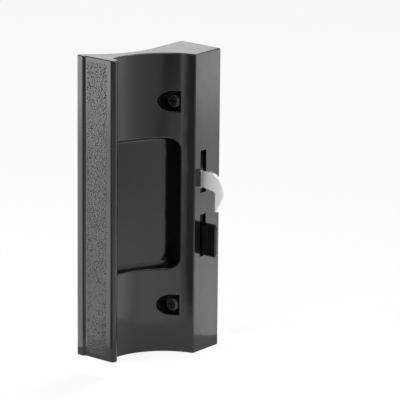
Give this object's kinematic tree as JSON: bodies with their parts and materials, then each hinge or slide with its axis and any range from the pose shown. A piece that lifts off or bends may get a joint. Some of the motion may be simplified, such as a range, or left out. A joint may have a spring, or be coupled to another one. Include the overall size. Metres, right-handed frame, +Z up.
{
  "type": "sliding door handle",
  "caption": "Inside handle of a sliding patio door: black die-cast grip with a thumb recess, a plated hook latch and the thumb lever that raises it.",
  "frame": {"origin": "midpoint between the axes of the two mounting screws, in the plane of the door face that the back of the handle lies on", "axes": "+X towards the latch edge and the jamb, +Y into the door, +Z up along the handle"},
  "size_m": [0.0685, 0.0766, 0.184],
  "materials": {
    "black_enamel": "gloss black enamel on an aluminium die casting, with a leather grain cast in the face of the grip",
    "hook_zinc": "bright zinc plate over tumbled stamped steel",
    "plated_steel": "dull zinc plate",
    "black_lever": "satin black moulding",
    "spring_steel": "drawn spring wire",
    "black_screw": "black plated steel"
  },
  "bodies": {
    "handle": {"handle_body": "black_enamel", "latch_frame": "plated_steel", "frame_cover": "plated_steel", "hook_pivot_rivet": "plated_steel", "guide_rivet_upper": "plated_steel", "guide_rivet_lower": "plated_steel", "hook_washer": "plated_steel", "hook_sleeve": "plated_steel", "toggle_spring": "spring_steel", "mounting_screw_upper": "black_screw", "mounting_screw_lower": "black_screw", "frame_screw_upper": "plated_steel", "frame_screw_lower": "plated_steel"},
    "hook": {"latch_hook": "hook_zinc"},
    "lever": {"slide_plate": "plated_steel", "drive_pin": "plated_steel", "thumb_lever": "black_lever", "lever_rivet_upper": "plated_steel", "lever_rivet_lower": "plated_steel"}
  },
  "joints": [
    {"name": "lever_slide", "type": "slide", "parent": "handle", "child": "lever", "axis": [0, 0, 1], "range_m": [0, 0.0048]},
    {"name": "hook_pivot", "type": "hinge", "parent": "handle", "child": "hook", "pos_m": [-0.0016, -0.0149, 0.0112], "axis": [0, -1, 0], "range_deg": [0, 35], "deforming": ["toggle_spring"]}
  ],
  "couplings": [
    {"joint": "hook_pivot", "follows": "lever_slide", "rad_per_m": 127.25}
  ]
}
